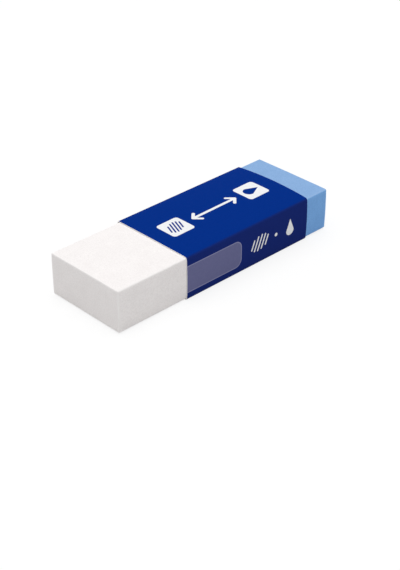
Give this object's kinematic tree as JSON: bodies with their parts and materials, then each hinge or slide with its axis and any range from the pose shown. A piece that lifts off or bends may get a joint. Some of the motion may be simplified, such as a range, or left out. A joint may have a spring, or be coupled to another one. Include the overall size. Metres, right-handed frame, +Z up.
{
  "type": "rubber eraser",
  "caption": "Block eraser in a sliding printed card sleeve, with a white end for pencil and a pale blue end for ink.",
  "frame": {"origin": "under the middle of the block, on the underside of the sleeve", "axes": "+X along the block from the white end to the blue end, +Y across it to the side with the sleeve's seam, +Z up"},
  "size_m": [0.065, 0.0231, 0.0112],
  "materials": {
    "white_rubber": "matte white eraser compound with a fine grain",
    "blue_rubber": "matte pale blue eraser compound with a fine abrasive grain",
    "printed_card": "thin card with a matte deep blue print, white at its cut edges"
  },
  "bodies": {
    "block": {"white_compound": "white_rubber", "blue_compound": "blue_rubber"},
    "sleeve": {"sleeve": "printed_card"}
  },
  "joints": [
    {"name": "sleeve_slide", "type": "slide", "parent": "block", "child": "sleeve", "axis": [1, 0, 0], "range_m": [-0.0194, 0.0071]}
  ]
}
